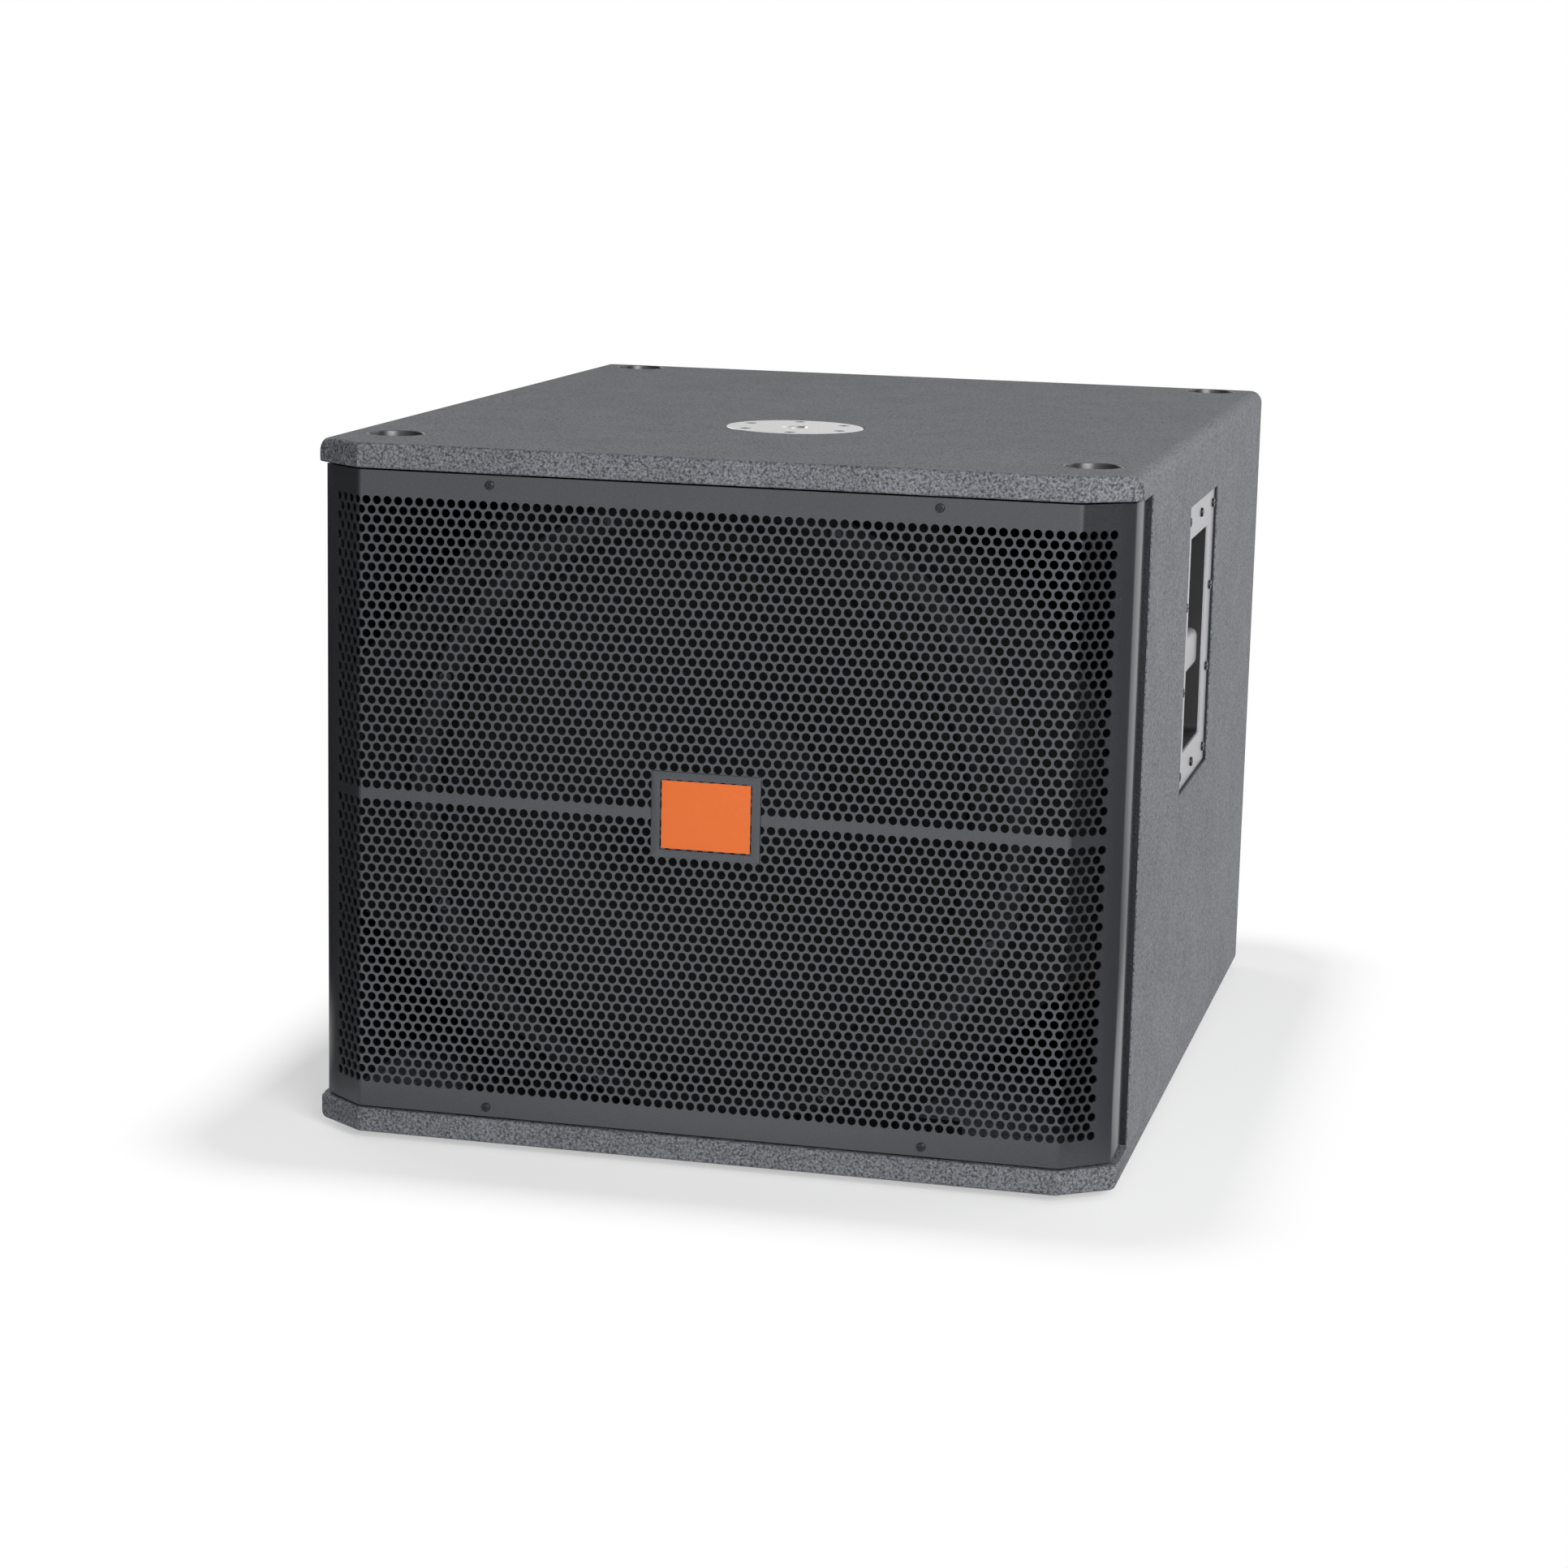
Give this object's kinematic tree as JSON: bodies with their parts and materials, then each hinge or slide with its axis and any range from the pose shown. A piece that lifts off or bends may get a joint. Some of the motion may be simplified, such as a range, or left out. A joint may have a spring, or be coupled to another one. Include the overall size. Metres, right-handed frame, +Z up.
{
  "type": "subwoofer cabinet",
  "caption": "Passive bass-reflex subwoofer cabinet with a large driver behind a folded perforated grille, side handles, a pole socket and stacking cups.",
  "frame": {"origin": "on the floor, under the middle of the cabinet's outer box", "axes": "+Z up; the grille faces -Y; +X is to the right when facing the grille"},
  "size_m": [0.597, 0.749, 0.514],
  "materials": {
    "textured_coating": "black textured coating over plywood, fine pebble, half matt",
    "black_plywood": "plywood painted flat black",
    "bare_plywood": "sanded birch plywood",
    "grille_paint": "black powder coat, satin",
    "badge_orange": "bare orange plate, satin",
    "black_screw": "black zinc",
    "plain_steel": "zinc-plated steel",
    "zinc_plate": "bright zinc",
    "cup_plastic": "black moulded plastic",
    "foot_rubber": "matt black rubber",
    "handle_steel": "light grey satin powder coat",
    "handle_cup_paint": "black, semi-gloss",
    "plate_paint": "black powder coat",
    "socket_plastic": "black glass-filled plastic",
    "cable_jacket": "black flexible jacket",
    "clip_plastic": "natural nylon",
    "wadding": "loose grey felt wadding",
    "frame_paint": "cast aluminium, black crackle paint",
    "gasket_foam": "closed-cell foam",
    "motor_steel": "steel, black",
    "ferrite": "sintered ferrite",
    "cone_paper": "black pressed paper pulp, ribbed",
    "surround_cloth": "doped black cloth",
    "spider_cloth": "resin-treated amber cloth",
    "former_film": "polyimide and glass film",
    "coil_wire": "copper-coloured ribbon wire"
  },
  "bodies": {
    "cabinet": {"back_lining": "wadding", "back_panel": "textured_coating", "badge_frame": "grille_paint", "badge_plate": "badge_orange", "bottom_baffle_cleat": "bare_plywood", "bottom_panel": "textured_coating", "cable_clips": "clip_plastic", "driver_bolts": "black_screw", "driver_frame": "frame_paint", "foot_screws": "plain_steel", "frame_gasket": "gasket_foam", "front_baffle": "black_plywood", "grille": "grille_paint", "grille_blocks": "black_plywood", "grille_screws": "black_screw", "input_plate": "plate_paint", "input_plate_screws": "black_screw", "input_socket": "socket_plastic", "input_socket_screws": "black_screw", "left_baffle_cleat": "bare_plywood", "left_handle_cup": "handle_cup_paint", "left_handle_grip": "handle_steel", "left_handle_plate": "handle_steel", "left_handle_screws": "black_screw", "left_side_panel": "textured_coating", "link_socket": "socket_plastic", "link_socket_screws": "black_screw", "lower_left_port_board": "black_plywood", "lower_right_port_board": "black_plywood", "magnet": "ferrite", "motor_back_plate": "motor_steel", "motor_bolts": "plain_steel", "motor_front_plate": "motor_steel", "pole_backing_board": "bare_plywood", "pole_plate": "zinc_plate", "pole_plate_screws": "black_screw", "right_baffle_cleat": "bare_plywood", "right_handle_cup": "handle_cup_paint", "right_handle_grip": "handle_steel", "right_handle_plate": "handle_steel", "right_handle_screws": "black_screw", "right_side_panel": "textured_coating", "rubber_feet": "foot_rubber", "speaker_cable": "cable_jacket", "spider": "spider_cloth", "stacking_cup_screws": "plain_steel", "stacking_cups": "cup_plastic", "surround": "surround_cloth", "tee_nuts": "plain_steel", "terminal_block": "socket_plastic", "top_baffle_cleat": "bare_plywood", "top_lining": "wadding", "top_panel": "textured_coating", "upper_left_port_board": "black_plywood", "upper_right_port_board": "black_plywood", "window_brace": "bare_plywood"},
    "cone_assembly": {"cone": "cone_paper", "dust_cap": "cone_paper", "coil_former": "former_film", "coil_winding": "coil_wire"}
  },
  "joints": [
    {"name": "cone_travel", "type": "slide", "parent": "cabinet", "child": "cone_assembly", "axis": [0, -1, 0], "range_m": [-0.008, 0.008], "stiffness_N_per_m": 8000, "deforming": ["surround", "spider"]}
  ]
}
